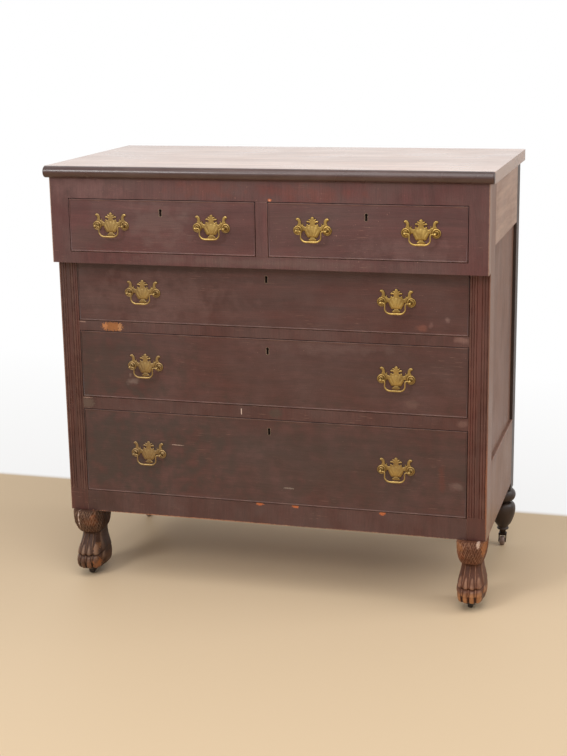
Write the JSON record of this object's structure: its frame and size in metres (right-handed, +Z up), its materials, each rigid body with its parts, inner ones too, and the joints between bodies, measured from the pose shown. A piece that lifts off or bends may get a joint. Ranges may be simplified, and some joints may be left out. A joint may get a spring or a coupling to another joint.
{
  "type": "chest of drawers",
  "caption": "Chest of drawers with short drawers over long ones, a projecting upper section, carved paw feet and casters.",
  "frame": {"origin": "on the floor, below the centre of the whole chest's box", "axes": "+Z up, the drawers face -Y, +X is to the right as the drawers are faced"},
  "size_m": [1.112, 0.5814, 1.085],
  "materials": {
    "mahogany": "aged dark varnish, satin",
    "side_wood": "aged dark varnish with a pale sheen",
    "top_wood": "worn varnish with a pale sheen",
    "carved_wood": "worn varnish on carving",
    "dark_wood": "near-black old varnish",
    "poplar": "bare secondary wood",
    "aged_brass": "aged, unpolished",
    "iron": "dull, dark",
    "wheel_wood": "bare, worn"
  },
  "bodies": {
    "carcase": {"top_board": "top_wood", "left_front_post": "mahogany", "right_front_post": "mahogany", "left_rear_post": "dark_wood", "right_rear_post": "dark_wood", "left_side_top_rail": "side_wood", "right_side_top_rail": "side_wood", "left_side_panel": "side_wood", "right_side_panel": "side_wood", "upper_front_frame": "mahogany", "centre_divider": "mahogany", "upper_drawer_rail": "mahogany", "lower_drawer_rail": "mahogany", "base_rail": "mahogany", "back_panel": "poplar", "left_paw_foot": "carved_wood", "right_paw_foot": "carved_wood"},
    "upper_left_drawer": {"upper_left_drawer_front": "mahogany", "upper_left_drawer_box": "poplar", "upper_left_left_pull_plate": "aged_brass", "upper_left_right_pull_plate": "aged_brass"},
    "upper_left_left_bail": {"upper_left_left_pull_bail": "aged_brass"},
    "upper_left_right_bail": {"upper_left_right_pull_bail": "aged_brass"},
    "upper_left_lock": {"upper_left_lock_bolt": "iron"},
    "upper_right_drawer": {"upper_right_drawer_front": "mahogany", "upper_right_drawer_box": "poplar", "upper_right_left_pull_plate": "aged_brass", "upper_right_right_pull_plate": "aged_brass"},
    "upper_right_left_bail": {"upper_right_left_pull_bail": "aged_brass"},
    "upper_right_right_bail": {"upper_right_right_pull_bail": "aged_brass"},
    "upper_right_lock": {"upper_right_lock_bolt": "iron"},
    "top_long_drawer": {"top_long_drawer_front": "mahogany", "top_long_drawer_box": "poplar", "top_long_left_pull_plate": "aged_brass", "top_long_right_pull_plate": "aged_brass"},
    "top_long_left_bail": {"top_long_left_pull_bail": "aged_brass"},
    "top_long_right_bail": {"top_long_right_pull_bail": "aged_brass"},
    "top_long_lock": {"top_long_lock_bolt": "iron"},
    "middle_long_drawer": {"middle_long_drawer_front": "mahogany", "middle_long_drawer_box": "poplar", "middle_long_left_pull_plate": "aged_brass", "middle_long_right_pull_plate": "aged_brass"},
    "middle_long_left_bail": {"middle_long_left_pull_bail": "aged_brass"},
    "middle_long_right_bail": {"middle_long_right_pull_bail": "aged_brass"},
    "middle_long_lock": {"middle_long_lock_bolt": "iron"},
    "bottom_long_drawer": {"bottom_long_drawer_front": "mahogany", "bottom_long_drawer_box": "poplar", "bottom_long_left_pull_plate": "aged_brass", "bottom_long_right_pull_plate": "aged_brass"},
    "bottom_long_left_bail": {"bottom_long_left_pull_bail": "aged_brass"},
    "bottom_long_right_bail": {"bottom_long_right_pull_bail": "aged_brass"},
    "bottom_long_lock": {"bottom_long_lock_bolt": "iron"},
    "left_front_caster": {"left_front_caster_fork": "iron"},
    "left_front_wheel": {"left_front_caster_wheel": "wheel_wood"},
    "right_front_caster": {"right_front_caster_fork": "iron"},
    "right_front_wheel": {"right_front_caster_wheel": "wheel_wood"},
    "left_rear_caster": {"left_rear_caster_fork": "iron"},
    "left_rear_wheel": {"left_rear_caster_wheel": "wheel_wood"},
    "right_rear_caster": {"right_rear_caster_fork": "iron"},
    "right_rear_wheel": {"right_rear_caster_wheel": "wheel_wood"}
  },
  "joints": [
    {"name": "upper_left_drawer_slide", "type": "slide", "parent": "carcase", "child": "upper_left_drawer", "axis": [0, -1, 0], "range_m": [0, 0.36]},
    {"name": "upper_left_left_bail_swing", "type": "hinge", "parent": "upper_left_drawer", "child": "upper_left_left_bail", "pos_m": [-0.386, -0.28695, 0.9405], "axis": [-1, 0, 0], "range_deg": [-20, 180]},
    {"name": "upper_left_right_bail_swing", "type": "hinge", "parent": "upper_left_drawer", "child": "upper_left_right_bail", "pos_m": [-0.126, -0.28695, 0.9405], "axis": [-1, 0, 0], "range_deg": [-20, 180]},
    {"name": "upper_left_lock_throw", "type": "slide", "parent": "upper_left_drawer", "child": "upper_left_lock", "axis": [0, 0, 1], "range_m": [0, 0.008]},
    {"name": "upper_right_drawer_slide", "type": "slide", "parent": "carcase", "child": "upper_right_drawer", "axis": [0, -1, 0], "range_m": [0, 0.36]},
    {"name": "upper_right_left_bail_swing", "type": "hinge", "parent": "upper_right_drawer", "child": "upper_right_left_bail", "pos_m": [0.126, -0.28695, 0.9405], "axis": [-1, 0, 0], "range_deg": [-20, 180]},
    {"name": "upper_right_right_bail_swing", "type": "hinge", "parent": "upper_right_drawer", "child": "upper_right_right_bail", "pos_m": [0.386, -0.28695, 0.9405], "axis": [-1, 0, 0], "range_deg": [-20, 180]},
    {"name": "upper_right_lock_throw", "type": "slide", "parent": "upper_right_drawer", "child": "upper_right_lock", "axis": [0, 0, 1], "range_m": [0, 0.008]},
    {"name": "top_long_drawer_slide", "type": "slide", "parent": "carcase", "child": "top_long_drawer", "axis": [0, -1, 0], "range_m": [0, 0.34]},
    {"name": "top_long_left_bail_swing", "type": "hinge", "parent": "top_long_drawer", "child": "top_long_left_bail", "pos_m": [-0.322, -0.25595, 0.7695], "axis": [-1, 0, 0], "range_deg": [-20, 180]},
    {"name": "top_long_right_bail_swing", "type": "hinge", "parent": "top_long_drawer", "child": "top_long_right_bail", "pos_m": [0.322, -0.25595, 0.7695], "axis": [-1, 0, 0], "range_deg": [-20, 180]},
    {"name": "top_long_lock_throw", "type": "slide", "parent": "top_long_drawer", "child": "top_long_lock", "axis": [0, 0, 1], "range_m": [0, 0.008]},
    {"name": "middle_long_drawer_slide", "type": "slide", "parent": "carcase", "child": "middle_long_drawer", "axis": [0, -1, 0], "range_m": [0, 0.34]},
    {"name": "middle_long_left_bail_swing", "type": "hinge", "parent": "middle_long_drawer", "child": "middle_long_left_bail", "pos_m": [-0.322, -0.25595, 0.58075], "axis": [-1, 0, 0], "range_deg": [-20, 180]},
    {"name": "middle_long_right_bail_swing", "type": "hinge", "parent": "middle_long_drawer", "child": "middle_long_right_bail", "pos_m": [0.322, -0.25595, 0.58075], "axis": [-1, 0, 0], "range_deg": [-20, 180]},
    {"name": "middle_long_lock_throw", "type": "slide", "parent": "middle_long_drawer", "child": "middle_long_lock", "axis": [0, 0, 1], "range_m": [0, 0.008]},
    {"name": "bottom_long_drawer_slide", "type": "slide", "parent": "carcase", "child": "bottom_long_drawer", "axis": [0, -1, 0], "range_m": [0, 0.34]},
    {"name": "bottom_long_left_bail_swing", "type": "hinge", "parent": "bottom_long_drawer", "child": "bottom_long_left_bail", "pos_m": [-0.322, -0.25595, 0.35175], "axis": [-1, 0, 0], "range_deg": [-20, 180]},
    {"name": "bottom_long_right_bail_swing", "type": "hinge", "parent": "bottom_long_drawer", "child": "bottom_long_right_bail", "pos_m": [0.322, -0.25595, 0.35175], "axis": [-1, 0, 0], "range_deg": [-20, 180]},
    {"name": "bottom_long_lock_throw", "type": "slide", "parent": "bottom_long_drawer", "child": "bottom_long_lock", "axis": [0, 0, 1], "range_m": [0, 0.008]},
    {"name": "left_front_caster_swivel", "type": "hinge", "parent": "carcase", "child": "left_front_caster", "pos_m": [-0.506, -0.20325, 0.044], "axis": [0, 0, 1], "continuous": true},
    {"name": "left_front_wheel_roll", "type": "hinge", "parent": "left_front_caster", "child": "left_front_wheel", "pos_m": [-0.506, -0.21125, 0.0125], "axis": [1, 0, 0], "continuous": true},
    {"name": "right_front_caster_swivel", "type": "hinge", "parent": "carcase", "child": "right_front_caster", "pos_m": [0.506, -0.20325, 0.044], "axis": [0, 0, 1], "continuous": true},
    {"name": "right_front_wheel_roll", "type": "hinge", "parent": "right_front_caster", "child": "right_front_wheel", "pos_m": [0.506, -0.21125, 0.0125], "axis": [1, 0, 0], "continuous": true},
    {"name": "left_rear_caster_swivel", "type": "hinge", "parent": "carcase", "child": "left_rear_caster", "pos_m": [-0.522, 0.25675, 0.044], "axis": [0, 0, 1], "continuous": true},
    {"name": "left_rear_wheel_roll", "type": "hinge", "parent": "left_rear_caster", "child": "left_rear_wheel", "pos_m": [-0.522, 0.24875, 0.0125], "axis": [1, 0, 0], "continuous": true},
    {"name": "right_rear_caster_swivel", "type": "hinge", "parent": "carcase", "child": "right_rear_caster", "pos_m": [0.522, 0.25675, 0.044], "axis": [0, 0, 1], "continuous": true},
    {"name": "right_rear_wheel_roll", "type": "hinge", "parent": "right_rear_caster", "child": "right_rear_wheel", "pos_m": [0.522, 0.24875, 0.0125], "axis": [1, 0, 0], "continuous": true}
  ]
}
